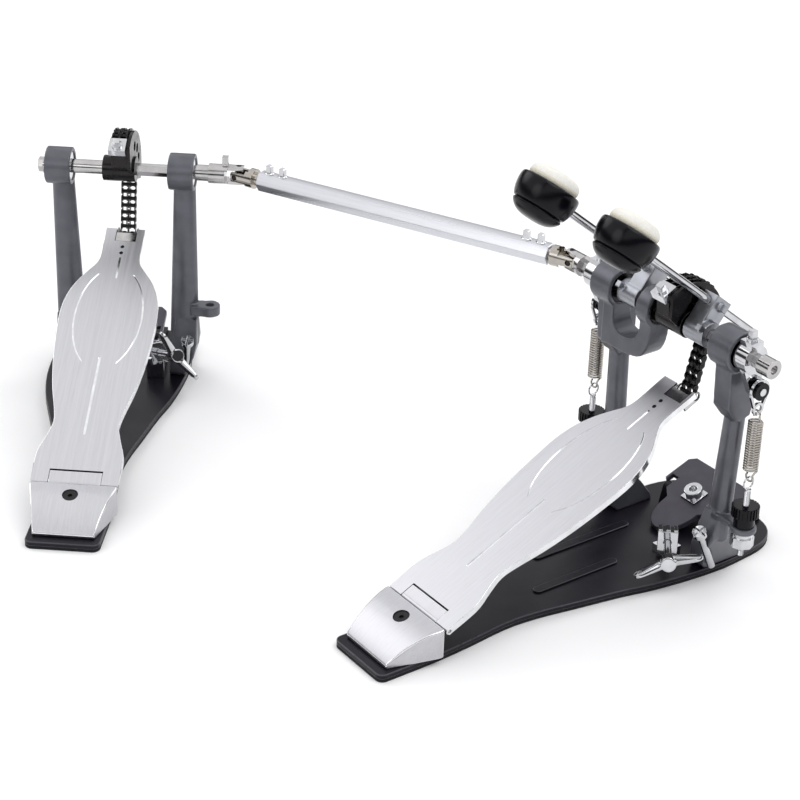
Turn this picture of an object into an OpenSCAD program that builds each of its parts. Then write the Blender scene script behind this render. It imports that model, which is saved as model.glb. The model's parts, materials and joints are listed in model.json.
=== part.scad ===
// Double bass drum pedal: a main pedal, a slave pedal and the drive shaft that joins them.
// Millimetres. +X is the player's right, +Y points at the drum, +Z is up.
// The origin is on the floor, straight under the middle of the main pedal's axle.

/* [Frame] */
// Height of both axles above the floor
axle_h = 208; // [204:1:212]
// Distance from the axle back to the footboard hinge
hinge_back = 230; // [228:1:232]
// Height of the footboard hinge
hinge_h = 28; // [27:1:29]
// Slope of the footboard at rest, in degrees
board_slope = 25.4; // [25:0.1:25.8]
// Where the slave pedal stands, sideways
slave_x = -475; // [-478:1:-472]
// Where the slave pedal stands, forwards
slave_y = -208; // [-211:1:-205]
// How far the slave pedal is turned, in degrees
slave_turn = 50; // [49:1:51]

/* [Footboard] */
// Length of the footboard from hinge to tip
board_l = 270; // [269:1:272]
// Thickness of the footboard
board_t = 5.5; // [5:0.5:6]
// Half width of the footboard at its widest
board_half = 42; // [40:1:44]

/* [Base] */
// Thickness of the rubber pad under each base plate
pad_t = 2.5; // [2:0.5:3]
// Thickness of each steel base plate
plate_t = 4; // [3:0.5:4]

/* [Axle] */
// Radius of the axle journals
journal_r = 6; // [5.9:0.1:6.1]
// Width across flats of the hexagonal shaft
hex_af = 9.5; // [9:0.1:9.6]
// Running clearance between a shaft and its bearing
run = 0.05; // [0.03:0.01:0.08]
// Outer radius of the bearing rings
bearing_r = 12; // [11.5:0.5:12]
// Outer radius of the bearing housings
housing_r = 16; // [15.5:0.5:16.5]

/* [Cam and chain] */
// Pitch radius of the chain on its cam
chain_r = 32; // [31.5:0.5:32]
// Pitch of the chain
chain_pitch = 6.35; // [6.35:0.05:6.35]
// Width over the chain's outer plates
chain_w = 14; // [13.6:0.1:14.2]

/* [Beaters] */
// Radius of each beater rod
rod_r = 3.2; // [3:0.1:3.5]
// Distance from the axle's line to the beater rod's line
rod_offset = 21.5; // [21:0.5:22]
// Length from the rod's nearest point to the middle of the right beater
beater_reach_r = 119; // [115:1:125]
// The same length on the left beater
beater_reach_l = 143; // [138:1:146]
// How far back the right beater leans at rest, in degrees
lean_r = 52; // [51:1:53]
// How far back the left beater leans at rest, in degrees
lean_l = 52; // [51:1:53]
// Radius of the beater heads
head_r = 24; // [23:0.5:25]

/* [Hidden] */

// ---- Colours used more than once ----
post_grey = [0.34, 0.35, 0.38];
bolt_chrome = [0.75, 0.76, 0.78];
shaft_steel = [0.7, 0.71, 0.73];
cast_silver = [0.62, 0.63, 0.66];
joint_nickel = [0.6, 0.58, 0.55];

// ---- Smoothness ----
$fn = 48;
hull_fn = 32;
gap = 0.3;              // clearance between parts that pass each other
eps = 0.01;
sink = 0.1;             // how deep one solid stands in another that carries it

// ---- Heights and axes ----
plate_top = pad_t + plate_t;
hinge_pin_r = 1.5;
pivot_r = 2;            // pins of the universal joints
pivot_play = 0.4;       // room for the joint crosses to settle in their yokes

// ---- Positions along the main axle ----
post_out_x = 63;        // middle of the right bearing housing
post_in_x = -70;        // middle of the left bearing housing
inner_bearing_x = -21;  // middle of the bearing between the two hubs
housing_w = 22;
inner_housing_w = 13;
journal_half = housing_w / 2 + 0.2;
axle_end_x = 106;
holder_r_x = 26;
holder_l_x = -42;
rocker_r_x = 81.5;
rocker_l_x = -87.5;
spring_r_x = 87.5;
spring_l_x = -92;
joint_x = -121;         // middle of the main universal joint

// ---- Positions along the slave axle ----
slave_post_x = 53;
slave_nut_x = -71;
slave_joint_x = 102;    // middle of the slave universal joint

// ---- Chain and cam ----
chain_x = 3.5;
chain_shift = 2.2;      // the main pedal's chain sits further right, the slave's further left
link_h = 5.6;
link_turn = chain_pitch / chain_r * 180 / PI;
links_per_part = 2;
link_gap = 1.2;         // degrees left open at each end of a stretch so it can bend
part_turn = links_per_part * link_turn;
anchor_turn = 118;      // where the chain is clamped on the cam
cam_rim_r = chain_r - link_h / 2 - gap;
cam_rim_w = 6;          // from the chain's middle to the open side of the rim
cam_disc_x = chain_w / 2 + gap;
cam_disc_w = 3;

// ---- Footboard stations: distance from hinge and half width there ----
notch_s = 11.6;
ear_half = 21.7;
board_top = board_t / 2; // height of the tread above the hinge line
board_side = [
    [-hinge_pin_r, 35.5], [18, 36], [30, 35], [44, 30.5], [58, 27.2], [72, 29.2], [92, 34], [113, 37.6],
    [134, 40], [155, board_half - 0.6], [172, board_half], [186, 40.6], [197, 37.8], [206, 34],
    [214, 29.5], [222, 24], [229, 19.3], [237, 17], [250, 17], [board_l - 2, 17.4], [board_l, 15.8]
];
attach_s = 271;         // where the chain meets the footboard
attach_n = -4;
attach = [-hinge_back + attach_s * cos(board_slope) - attach_n * sin(board_slope),
    hinge_h + attach_s * sin(board_slope) + attach_n * cos(board_slope) - axle_h];
// where the chain leaves the cam at rest: the tangent from the attachment point
chain_leave = atan2(attach[1], attach[0]) + acos(chain_r / norm(attach));
upper_start = chain_leave + 2 * part_turn;
clamp_half = 9.2;       // half width of the chain clamp in the footboard's slot
clamp_s = 255.5;        // where the slot starts
clamp_l = 10.5;
end_pin_r = 1.2;        // pin through the chain's last link
end_pin_play = 1.7;     // its open hole lets the chain swing and settle

// ---- Drive shaft line ----
main_joint = [joint_x, 0];
slave_joint = [slave_x + slave_joint_x * cos(slave_turn), slave_y + slave_joint_x * sin(slave_turn)];
drive_vec = main_joint - slave_joint;
drive_l = norm(drive_vec);
drive_turn = atan2(drive_vec[1], drive_vec[0]);
tube_start = 22;
tube_end = drive_l - 19;
tube_af = 16;
drive_rod_r = 5.5;      // the round rods that slide in the tube's two ends
yoke_r = 8.6;
yoke_slot = 9.6;

// ---- Springs ----
rocker_arm = 28;        // from the axle to the roller pin
rocker_front = 15.5;    // how far forward of straight down the arm points, degrees
roller_r = 7;
roller_pin_r = 3;
knob_z = 84;            // top of the knurled tension knob
lug_z = 66;             // top of the lug that the spring rod passes through
lug_t = 5;
lug_play = 0.6;         // room round the spring rod in its lug
spring_rod_r = 2.5;
knob_r = 10.5;
roller_y = rocker_arm * sin(rocker_front);
roller_z = axle_h - rocker_arm * cos(rocker_front);
spring_y = roller_y;
eye_z = 103;            // eye of the spring rod
coil_low = 114;
coil_high = 156;
coil_r = 6;
wire_r = 0.8;
loop_z = 166;           // lower loop of the stirrup
rest_gap = 0.1;         // between the turning knob and the lug

// ---- Curves ----
function arc(c, r, a0, a1, n) = [for (i = [0:n]) let (a = a0 + (a1 - a0) * i / n) c + r * [cos(a), sin(a)]];
function bend(p, q, r, n) = [for (i = [0:n]) let (t = i / n) (1-t)*(1-t)*p + 2*t*(1-t)*q + t*t*r];

// Smooth pass through a list of stations, three steps to each
function smooth(p) = [for (i = [0:len(p)-2]) for (k = [0:2])
    let (a = p[max(i-1, 0)], b = p[i], c = p[i+1], d = p[min(i+2, len(p)-1)], t = k / 3)
    0.5 * (2*b + (c-a)*t + (2*a - 5*b + 4*c - d)*t*t + (3*b - a - 3*c + d)*t*t*t)];

// ---- Frames ----
module slave() { translate([slave_x, slave_y, 0]) rotate([0, 0, slave_turn]) children(); }
module along_x(x) { translate([x, 0, axle_h]) rotate([0, 90, 0]) children(); }
// Cylinder on the axle's line between two x positions
module axle_rod(x0, x1, r) { along_x(x0) cylinder(h = x1 - x0, r = r); }
module axle_hex(x0, x1, af) {
    along_x(x0) rotate([0, 0, 30]) cylinder(h = x1 - x0, r = af / sqrt(3), $fn = 6);
}
// Outline in Y (to the drum) and Z, about the axle, pushed out along X
module axle_slab(x0, x1) {
    translate([x0, 0, axle_h]) rotate([90, 0, 90]) linear_extrude(x1 - x0) children();
}
// The same about the floor, and an outline in X and Z pushed out along Y
module yz_slab(x0, x1) { translate([x0, 0, 0]) rotate([90, 0, 90]) linear_extrude(x1 - x0) children(); }
module xz_slab(y0, y1) { translate([0, y1, 0]) rotate([90, 0, 0]) linear_extrude(y1 - y0) children(); }
// Footboard frame: X across, Y up the board from the hinge, Z out of the tread
module board_frame() { translate([0, -hinge_back, hinge_h]) rotate([board_slope, 0, 0]) children(); }
// Beater frame: Z runs up the rod, Y points at the drum side of the axle
module beater_frame(x, lean) { translate([x, 0, axle_h]) rotate([lean, 0, 0]) children(); }
// Drive frame: X runs along the shaft from the slave joint to the main joint
module drive_frame() {
    translate([slave_joint[0], slave_joint[1], axle_h]) rotate([0, 0, drive_turn]) children();
}

// Square-headed drum key bolt standing on the XY plane: collar, head and a shank below it
key_af = 5;             // across the flats of every key bolt's head
module key_bolt(shank = 4, collar_r = 4.6, head = 7) {
    cylinder(h = 1.6, r = collar_r);
    translate([-key_af / 2, -key_af / 2, 0]) cube([key_af, key_af, head]);
    translate([0, 0, -shank]) cylinder(h = shank, r = key_af / 2);
}

// ---- Base ----
// Right edge of the base plate from the heel to the drum end
right_edge = smooth([[30, -276], [30, -240], [28, -205], [24.5, -168], [26, -140], [32, -105],
    [39, -65], [45, -38], [49.5, -5], [51.5, 30], [49, 62]]);
left_edge = smooth([[-30, -276], [-30, -240], [-28.5, -205], [-28, -168], [-33, -140],
    [-45, -108], [-59, -65], [-67, -38], [-73, -5], [-75, 30], [-73, 62]]);
module base_outline() {
    polygon(concat(
        arc([24, -281], 6, -90, 0, 6), right_edge, bend([49, 62], [46, 96], [18, 100], 8),
        bend([-42, 100], [-70, 96], [-73, 62], 8), [for (i = [len(left_edge)-1:-1:0]) left_edge[i]],
        arc([-24, -281], 6, 180, 270, 6)));
}
rib_half = 4;
module base_pad() { color([0.07, 0.07, 0.08]) linear_extrude(pad_t) base_outline(); }
module base_plate() {
    color([0.11, 0.11, 0.12]) {
        translate([0, 0, pad_t]) linear_extrude(plate_t) base_outline();
        // long stiffening ribs pressed into the plate, each given as [x, back end, front end]
        for (rib = [[-35, -90, 0], [3, -120, -45]]) translate([rib[0], 0, plate_top - eps]) {
            linear_extrude(1.6) polygon(concat(
                arc([0, rib[1]], rib_half, 180, 360, 10), arc([0, rib[2]], rib_half, 0, 180, 10)));
        }
    }
}

// ---- Heel plate: a hollow cast cover with the central hinge knuckle ----
heel_back = 49;
heel_top = hinge_h + board_top - plate_top;
heel_front = -4;        // the cover stops this far behind the hinge line
heel_wall = 3.4;
heel_screw_y = -17;
heel_screw_r = 2.5;
heel_seat_tilt = 14;    // the cover's slope round the screw
hinge_half = 35.4;      // half the width over the hinge
tongue_half = ear_half - gap;
module heel_profile(inset) {
    front = heel_front - inset;
    polygon(concat(
        [[-heel_back + 1 + inset, 0], [-heel_back + inset, 2.6 - inset * 0.5]],
        bend([-heel_back + 1 + inset, 5 - inset], [-32, heel_top - 5 - inset], [-14, heel_top - 1.4 - inset], 6),
        [[front, heel_top - inset], [front, 0]]));
}
module heel_plate() {
    color([0.78, 0.79, 0.81]) translate([0, -hinge_back, 0]) difference() {
        union() {
            intersection() {
                translate([0, 0, plate_top]) yz_slab(-40, 40) heel_profile(0);
                linear_extrude(60) polygon([[-24.5, -50], [24.5, -50], [35.2, -8], [35.2, 0],
                    [-35.2, 0], [-35.2, -8]]);
            }
            // knuckle round the hinge pin, and its tongue up to the footboard's notch
            translate([-tongue_half, 0, hinge_h]) rotate([0, 90, 0])
                cylinder(h = 2 * tongue_half, r = board_top);
            translate([0, 0, hinge_h]) rotate([board_slope, 0, 0])
                translate([sink - tongue_half, 0, sink - board_top])
                    cube([2 * (tongue_half - sink), notch_s - 0.8, board_t - 0.3]);
            translate([2 * sink - tongue_half, heel_front - 2, plate_top])
                cube([2 * (tongue_half - 2 * sink), 5, hinge_h - plate_top]);
        }
        translate([-ear_half, 0, hinge_h]) rotate([0, 90, 0]) cylinder(h = 2 * ear_half, r = hinge_pin_r);
        // hollow underside
        intersection() {
            translate([0, 0, plate_top - eps]) yz_slab(-40, 40) heel_profile(heel_wall);
            linear_extrude(60) polygon([[-21, -46], [21, -46], [30.5, -12], [-30.5, -12]]);
        }
        // screw hole and seat
        translate([0, heel_screw_y, 0]) cylinder(h = 40, r = heel_screw_r + 0.1);
        translate([0, heel_screw_y, hinge_h - 3]) rotate([heel_seat_tilt, 0, 0])
            cylinder(h = 20, r = 6.4);
    }
}
// Screw through the heel plate, and the footboard's hinge pin
module heel_screw() {
    translate([0, heel_screw_y - hinge_back, plate_top])
        cylinder(h = hinge_h - plate_top - 3, r = heel_screw_r);
    translate([0, heel_screw_y - hinge_back, hinge_h - 3]) rotate([heel_seat_tilt, 0, 0]) difference() {
        cylinder(h = 2.6, r = 6);
        translate([0, 0, 1]) cylinder(h = 3, r = 2, $fn = 6);
    }
    translate([0.8 - hinge_half, -hinge_back, hinge_h]) rotate([0, 90, 0])
        cylinder(h = 2 * (hinge_half - 0.8), r = hinge_pin_r);
}

// ---- Footboard ----
module footboard_outline() {
    right = smooth(board_side);
    tip = board_side[len(board_side) - 1];
    polygon(concat([for (p = right) [p[1], p[0]]], [[tip[1], tip[0]], [-tip[1], tip[0]]],
        [for (i = [len(right)-1:-1:0]) [-right[i][1], right[i][0]]]));
}
oval_s = 170;           // middle of the oval's outline
oval_reach = 62;        // each side of it runs between plus and minus this angle
groove_d = 0.7;
board_screws = [242, 249];
// Straight groove along the middle of the tread
module groove(s0, s1, half) {
    translate([0, 0, board_top - groove_d]) linear_extrude(2)
        polygon(concat(arc([0, s0], half, 180, 360, 8), arc([0, s1], half, 0, 180, 8)));
}
module footboard(shift) {
    color([0.8, 0.81, 0.83]) board_frame() difference() {
        union() {
            translate([0, 0, board_top - board_t]) linear_extrude(board_t) footboard_outline();
            // hinge ears
            for (side = [-1, 1]) translate([side > 0 ? ear_half + gap : -hinge_half, 0, 0])
                rotate([0, 90, 0]) cylinder(h = hinge_half - ear_half - gap, r = board_top);
        }
        // notch that takes the heel plate's tongue, and the hinge bores
        translate([-ear_half, -20, -20]) cube([2 * ear_half, 20 + notch_s, 40]);
        translate([-40, 0, 0]) rotate([0, 90, 0]) cylinder(h = 80, r = hinge_pin_r + run);
        // slot for the chain clamp
        translate([chain_x + shift - clamp_half, clamp_s, -10]) cube([2 * clamp_half, 30, 20]);
        // screw holes behind the clamp
        for (s = board_screws) translate([0, s, -10]) cylinder(h = 20, r = 1.7);
        groove(48, 126, 1.1);
        groove(214, 236, 0.9);
        // curved grooves of the oval
        for (side = [-1, 1]) translate([0, 0, board_top - groove_d]) linear_extrude(2) polygon(concat(
            [for (a = [-oval_reach:6:oval_reach]) [side * 29.6 * cos(a), oval_s + 56 * sin(a)]],
            [for (a = [oval_reach:-6:-oval_reach]) [side * 28 * cos(a), oval_s + 55 * sin(a)]]));
    }
}
// Chain clamp: a block in the footboard's slot with two cheeks that carry the chain's end pin
cheek_t = 1.5;
cheek_r = 4.4;
module chain_clamp(shift) {
    color(cast_silver) board_frame() {
        translate([chain_x + shift, 0, 0]) {
            translate([-clamp_half, clamp_s, -board_top]) cube([2 * clamp_half, clamp_l, board_t - 0.4]);
            for (x = [-clamp_half, clamp_half - cheek_t]) translate([x, 0, 0]) difference() {
                union() {
                    translate([0, clamp_s + 2, attach_n - cheek_r])
                        cube([cheek_t, attach_s - clamp_s - 2, 4 - attach_n]);
                    translate([0, attach_s, attach_n]) rotate([0, 90, 0]) cylinder(h = cheek_t, r = cheek_r);
                }
                translate([-1, attach_s, attach_n]) rotate([0, 90, 0])
                    cylinder(h = cheek_t + 2, r = end_pin_r + end_pin_play);
            }
        }
        // tongue below the board with the two screws that hold it
        translate([-6, 238, -board_top - 2.6]) cube([12, 23, 2.6]);
        for (s = board_screws) translate([0, s, -board_top - 0.1]) cylinder(h = board_t - 0.4, r = 1.6);
    }
}

// ---- Posts of the main pedal ----
// Foot of a post: a side profile in Y and Z cut by the front outline given in X and Z
foot_top = 66;
module foot(front) {
    intersection() {
        yz_slab(-90, 90) polygon([[10, plate_top], [47, plate_top], [45, 13], [24, 40], [18, foot_top],
            [3, foot_top], [-1, 50], [-2, 34], [5, 12]]);
        xz_slab(-20, 60) polygon(front);
    }
}
// Oval column between two sections, each given as [x, half width, z]
column_y = 10.6;
column_ry = 7.4;
module column(low, high) {
    hull() for (e = [low, high]) translate([e[0], column_y, e[2]]) scale([e[1], column_ry, 1])
        cylinder(h = 1, r = 1, $fn = hull_fn);
}
// Housing round a bearing, and the bore that the bearing sits in
module bearing_housing(x) { axle_rod(x - housing_w/2, x + housing_w/2, housing_r); }
module bearing_seat(x) { axle_rod(x - 20, x + 20, bearing_r); }
// Square shoulder that carries the bearing housing
module shoulder(x0, x1) {
    yz_slab(x0, x1) polygon([[-6, 160], [3.5, 148], [17.5, 150], [19, 157], [19, 186], [12, 200],
        [-8, 200], [-7, 178]]);
}
// Arm from the post to the ring that the spring rod passes through
module lug(x0, x1) {
    translate([x1, spring_y, lug_z - lug_t]) cylinder(h = lug_t, r = 10);
    translate([min(x0, x1), spring_y - 6, lug_z - lug_t]) cube([abs(x1 - x0), 12, lug_t]);
}
module post_outer_right() {
    color(post_grey) difference() {
        union() {
            foot([[36, plate_top], [50, plate_top], [60, 30], [66, 44], [66, foot_top], [50, foot_top],
                [46, 40], [37, 14]]);
            column([57.5, 10.5, 40], [63, 8.4, 152]);
            shoulder(54.5, 71.5);
            bearing_housing(post_out_x);
            lug(58, spring_r_x);
            // web under the lug
            yz_slab(62, 65) polygon([[14, 40], [24, 40], [14, lug_z], [0, lug_z]]);
        }
        bearing_seat(post_out_x);
        translate([spring_r_x, spring_y, 0]) cylinder(h = 100, r = spring_rod_r + lug_play);
        spur_hole(58, 1);
    }
}
// faces of the bracket's upright at the inner bearing
bracket_in = inner_bearing_x - inner_housing_w / 2;
bracket_out = inner_bearing_x + inner_housing_w / 2;
module post_inner_right() {
    color(post_grey) difference() {
        union() {
            foot([[-54, plate_top], [-68, plate_top], [-75, 30], [-77, foot_top], [-60, foot_top], [-56, 40]]);
            column([-66, 10.5, 40], [-69.5, 8.6, 165]);
            shoulder(-78.5, -61.5);
            bearing_housing(post_in_x);
            lug(-68, spring_l_x);
            // bracket that dips under the left beater's hub and carries the inner bearing
            axle_rod(inner_bearing_x - inner_housing_w/2, inner_bearing_x + inner_housing_w/2, housing_r);
            xz_slab(-10, 10) polygon(concat(
                [[-70, 196], [-70, 160]], bend([-62, 161.5], [-40, 160], [-28, 164], 6),
                bend([-24, 166], [bracket_out, 173], [bracket_out, 200], 6), [[bracket_in, 200]],
                bend([bracket_in, 189], [-30, 177], [-40, 175.5], 6),
                bend([-46, 174.5], [-57, 175], [-58.5, 186], 6), [[-58.5, 196]]));
        }
        bearing_seat(post_in_x);
        axle_rod(inner_bearing_x - 10, inner_bearing_x + 10, bearing_r);
        translate([spring_l_x, spring_y, 0]) cylinder(h = 100, r = spring_rod_r + lug_play);
        spur_hole(-66, -1);
    }
}
// Threaded spur bolts lean out from the feet of the posts
spur_r = 3.1;
module spur_frame(x, side) { translate([x, 1, 30]) rotate([28, side * 6, 0]) children(); }
module spur_hole(x, side) { spur_frame(x, side) translate([0, 0, -30]) cylinder(h = 70, r = spur_r + 0.1); }
module spur(x, side) {
    spur_frame(x, side) {
        translate([0, 0, -20]) cylinder(h = 41, r = spur_r);
        translate([0, 0, 21]) difference() {
            cylinder(h = 5, r = 5.6);
            translate([-6, -0.8, 3]) cube([12, 1.6, 3]);
            translate([-0.8, -6, 3]) cube([1.6, 12, 3]);
        }
    }
}
module bearing_ring(x, w) {
    difference() {
        axle_rod(x - w/2, x + w/2, bearing_r);
        axle_rod(x - w, x + w, journal_r + run);
    }
}

// ---- Hoop clamp ----
clamp_x = -14;
clamp_pin_y = 56;
clamp_pin_z = 19.5;
clamp_pin_r = 2.5;
jaw_slope = 20;
jaw_top = 6.5;          // top face of the jaw's plate above its pivot
ear_x = 30;             // the two ears stand this far from the clamp's middle
module hoop_clamp_body() {
    color([0.13, 0.13, 0.14]) difference() {
        union() {
            // front lip under the hoop, and two ears for the jaw's pin
            translate([clamp_x - 34, 74, plate_top]) cube([68, 24, 4]);
            for (side = [-1, 1]) yz_slab(clamp_x + side * ear_x - 3, clamp_x + side * ear_x + 3)
                polygon(concat([[clamp_pin_y - 8, plate_top], [clamp_pin_y + 12, plate_top]],
                    arc([clamp_pin_y, clamp_pin_z], 5, 20, 160, 10)));
        }
        translate([clamp_x - 50, clamp_pin_y, clamp_pin_z]) rotate([0, 90, 0])
            cylinder(h = 100, r = clamp_pin_r + run);
    }
}
module jaw_frame() {
    translate([clamp_x, clamp_pin_y, clamp_pin_z]) rotate([jaw_slope, 0, 0]) children();
}
module clamp_jaw() {
    color([0.3, 0.31, 0.34]) {
        jaw_frame() {
            difference() {
                translate([0, 0, jaw_top - 5]) linear_extrude(5) polygon(concat(
                    bend([-18, -12], [-17, -41], [0, -42], 8), bend([0, -42], [17, -41], [18, -12], 8),
                    [[36, 3], [36, 29]], [[31, 34], [-31, 34], [-36, 29], [-36, 3]]));
                // slots for the ears
                for (side = [-1, 1]) translate([side * ear_x - 3.6, -9, -10]) cube([7.2, 18, 30]);
            }
            // pivot barrel between the ears, and the pad that grips the hoop
            translate([-26.5, 0, 0]) rotate([0, 90, 0]) cylinder(h = 53, r = 4.5);
            translate([-28, 23, -3]) cube([56, 9, 5]);
            // flanged bush that seats the clamp's thrust screw
            translate([-8, -6, jaw_top - 0.1]) cube([16, 16, 1.6]);
            translate([0, 2, jaw_top - 0.1]) difference() {
                cylinder(h = 8, r = 7.5);
                translate([0, 0, 3]) cylinder(h = 8, r = 3.2);
            }
        }
        translate([clamp_x - 33, clamp_pin_y, clamp_pin_z]) rotate([0, 90, 0])
            cylinder(h = 66, r = clamp_pin_r);
    }
}
// Wing bolts, each given as [seat, turn about Z, tilt from upright, reach to the middle of the wings];
// the axis points back, to the right and up, so the wings swing clear of the plate
main_wing = [[15, 1, 18], -42, 79.5, 58];
slave_wing = [[25, 8, 30], -57, 70, 54];
wing_r = 3;             // radius of a wing bolt's shank
module wing_frame(w) { translate(w[0]) rotate([0, 0, w[1]]) rotate([0, w[2], 0]) children(); }
module wing_bolt(w, spin) {
    reach = w[3];
    color(bolt_chrome) wing_frame(w) rotate([0, 0, spin]) {
        translate([0, 0, -9]) cylinder(h = reach, r = wing_r);
        translate([0, 0, reach - 14]) cylinder(h = 12, r = 6);
        for (side = [-1, 1]) hull() {
            translate([0, 0, reach - 10]) rotate([90, 0, 0])
                cylinder(h = 5, r = 4, center = true, $fn = hull_fn);
            translate([0, side * 12, reach - 7]) rotate([0, 90, 0])
                cylinder(h = 3.4, r = 5.5, center = true, $fn = hull_fn);
            translate([0, side * 23, reach]) rotate([0, 90, 0])
                cylinder(h = 3, r = 4.5, center = true, $fn = hull_fn);
        }
    }
}
// Finned bracket that a wing bolt turns in
module wing_block(w) {
    seat = w[0];
    difference() {
        union() {
            wing_frame(w) {
                translate([-9, -8, -6]) cube([18, 16, 14]);
                for (k = [-1:1]) translate([-10.4, k * 6 - 1.7, -5]) cube([20.8, 3.4, 12]);
            }
            translate([seat[0] - 8, seat[1] - 8, plate_top]) cube([16, 16, seat[2] - plate_top - 4]);
        }
        wing_frame(w) translate([0, 0, -20]) cylinder(h = 50, r = wing_r + run);
    }
}

// ---- Springs ----
// Ring standing in the YZ plane
module ring_x(r_in, r_out, w) {
    rotate([0, 90, 0]) difference() {
        cylinder(h = w, r = r_out, center = true);
        cylinder(h = w + 2, r = r_in, center = true);
    }
}
stirrup_in = roller_r + 0.2;
stirrup_t = 2;
stirrup_w = 2.2;
module strap_end(x, y, z) {
    translate([x, y, z]) rotate([0, 90, 0])
        cylinder(h = stirrup_w, r = stirrup_t / 2, center = true, $fn = hull_fn);
}
module stirrup(x) {
    // flat loop over the roller, drawn together into a small loop below it
    color([0.7, 0.7, 0.7]) {
        difference() {
            translate([x, roller_y, roller_z]) ring_x(stirrup_in, stirrup_in + stirrup_t, stirrup_w);
            translate([x - 5, -20, roller_z - 23]) cube([10, 60, 20]);
        }
        for (side = [-1, 1]) hull() {
            strap_end(x, roller_y + side * (stirrup_in + stirrup_t / 2), roller_z - 3);
            strap_end(x, spring_y + side * 4, loop_z + 1.4);
        }
        translate([x, spring_y, loop_z]) ring_x(3.2, 3.2 + stirrup_t, stirrup_w);
    }
}
module spring_coil(x) {
    // close-wound tension coil with a hook ring at each end
    color([0.6, 0.6, 0.58]) translate([x, spring_y, 0]) {
        difference() {
            union() {
                translate([0, 0, coil_low]) cylinder(h = coil_high - coil_low, r = coil_r);
                translate([0, 0, coil_high]) cylinder(h = 2.4, r1 = coil_r, r2 = 2.6);
                translate([0, 0, coil_low - 2.4]) cylinder(h = 2.4, r1 = 2.6, r2 = coil_r);
            }
            translate([0, 0, coil_low]) cylinder(h = coil_high - coil_low, r = coil_r - 2 * wire_r);
        }
        for (z = [coil_low - 5.8, coil_high + 5.4]) translate([0, 0, z]) rotate([0, 0, 90])
            ring_x(2.6, 4.2, 1.6);
    }
}
module spring_rod(x) {
    // threaded rod with an eye that the coil's lower hook goes through
    color([0.72, 0.72, 0.74]) translate([x, spring_y, 0]) {
        translate([0, 0, 40]) cylinder(h = eye_z - 45, r = spring_rod_r);
        translate([0, 0, eye_z]) ring_x(3.4, 6, 3);
    }
}
module spring_rods() { for (x = [spring_r_x, spring_l_x]) spring_rod(x); }
knurl_h = 9;
knurls = 24;
module tension_knob(x) {
    // knurled knob above the lug, washer and nut below it
    color([0.08, 0.08, 0.09]) translate([x, spring_y, 0]) difference() {
        union() {
            translate([0, 0, lug_z + rest_gap]) cylinder(h = knob_z - lug_z - 6, r = 8);
            translate([0, 0, knob_z - knurl_h]) {
                cylinder(h = knurl_h, r = knob_r - 0.8);
                for (k = [0:knurls-1]) rotate([0, 0, 360 / knurls * k])
                    translate([knob_r - 1, -0.7, sink]) cube([1.2, 1.4, knurl_h - 4 * sink]);
            }
            translate([0, 0, lug_z - lug_t - 4]) cylinder(h = 4 - rest_gap, r = 7.5);
            translate([0, 0, lug_z - lug_t - 12]) cylinder(h = 8, r = 9.2, $fn = 8);
        }
        cylinder(h = 200, r = spring_rod_r + run);
    }
}

// ---- Cam, chain and hubs: all turn on an axle's line ----
module cam() {
    color([0.06, 0.06, 0.07]) difference() {
        union() {
            axle_rod(chain_x - 16, chain_x + 12, 11);
            // the disc beside the chain and the rim under it
            axle_slab(chain_x - cam_rim_w, chain_x + cam_disc_x) intersection() {
                circle(r = cam_rim_r);
                polygon([[0, 0], [40, -24], [50, 20], [40, 50], [0, 50], [-22, 41], [-19, 8]]);
            }
            axle_slab(chain_x + cam_disc_x, chain_x + cam_disc_x + cam_disc_w) intersection() {
                circle(r = chain_r + 1);
                polygon([[-4, -8], [40, -24], [50, 20], [40, 50], [0, 50], [-20, 41], [-19, 8]]);
            }
        }
        axle_hex(chain_x - 30, chain_x + 30, hex_af);
        // lightening holes
        for (a = [10, 45, 80]) translate([0, 0, axle_h]) rotate([a, 0, 0]) translate([chain_x - 20, 20, 0])
            rotate([0, 90, 0]) cylinder(h = 40, r = 4);
    }
}
// One stretch of chain on the cam between two angles
chain_black = [0.05, 0.05, 0.05];
lane_x = 3.4;           // each row of rollers runs this far from the chain's middle
module chain_arc(a0, a1) {
    n = round((a1 - a0) / link_turn);
    step = (a1 - a0) / n;
    difference() {
        axle_slab(chain_x - chain_w/2, chain_x + chain_w/2) polygon(concat(
            arc([0, 0], chain_r + link_h/2, a0, a1, 4 * n), arc([0, 0], chain_r - link_h/2, a1, a0, 4 * n)));
        // gaps between the rollers
        for (k = [0:n-1]) for (lane = [-1, 1]) translate([chain_x + lane * lane_x - 2, 0, axle_h])
            rotate([a0 + (k + 0.5) * step, 0, 0]) translate([0, chain_r - 5, -0.9]) cube([4, 10, 1.8]);
    }
}
module chain_wrap() { color(chain_black) chain_arc(upper_start + link_gap, anchor_turn - 6); }
module chain_upper() {
    color(chain_black) chain_arc(upper_start - part_turn + link_gap, upper_start - link_gap);
}
module chain_middle() {
    color(chain_black) chain_arc(chain_leave + link_gap, chain_leave + part_turn - link_gap);
}
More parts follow.
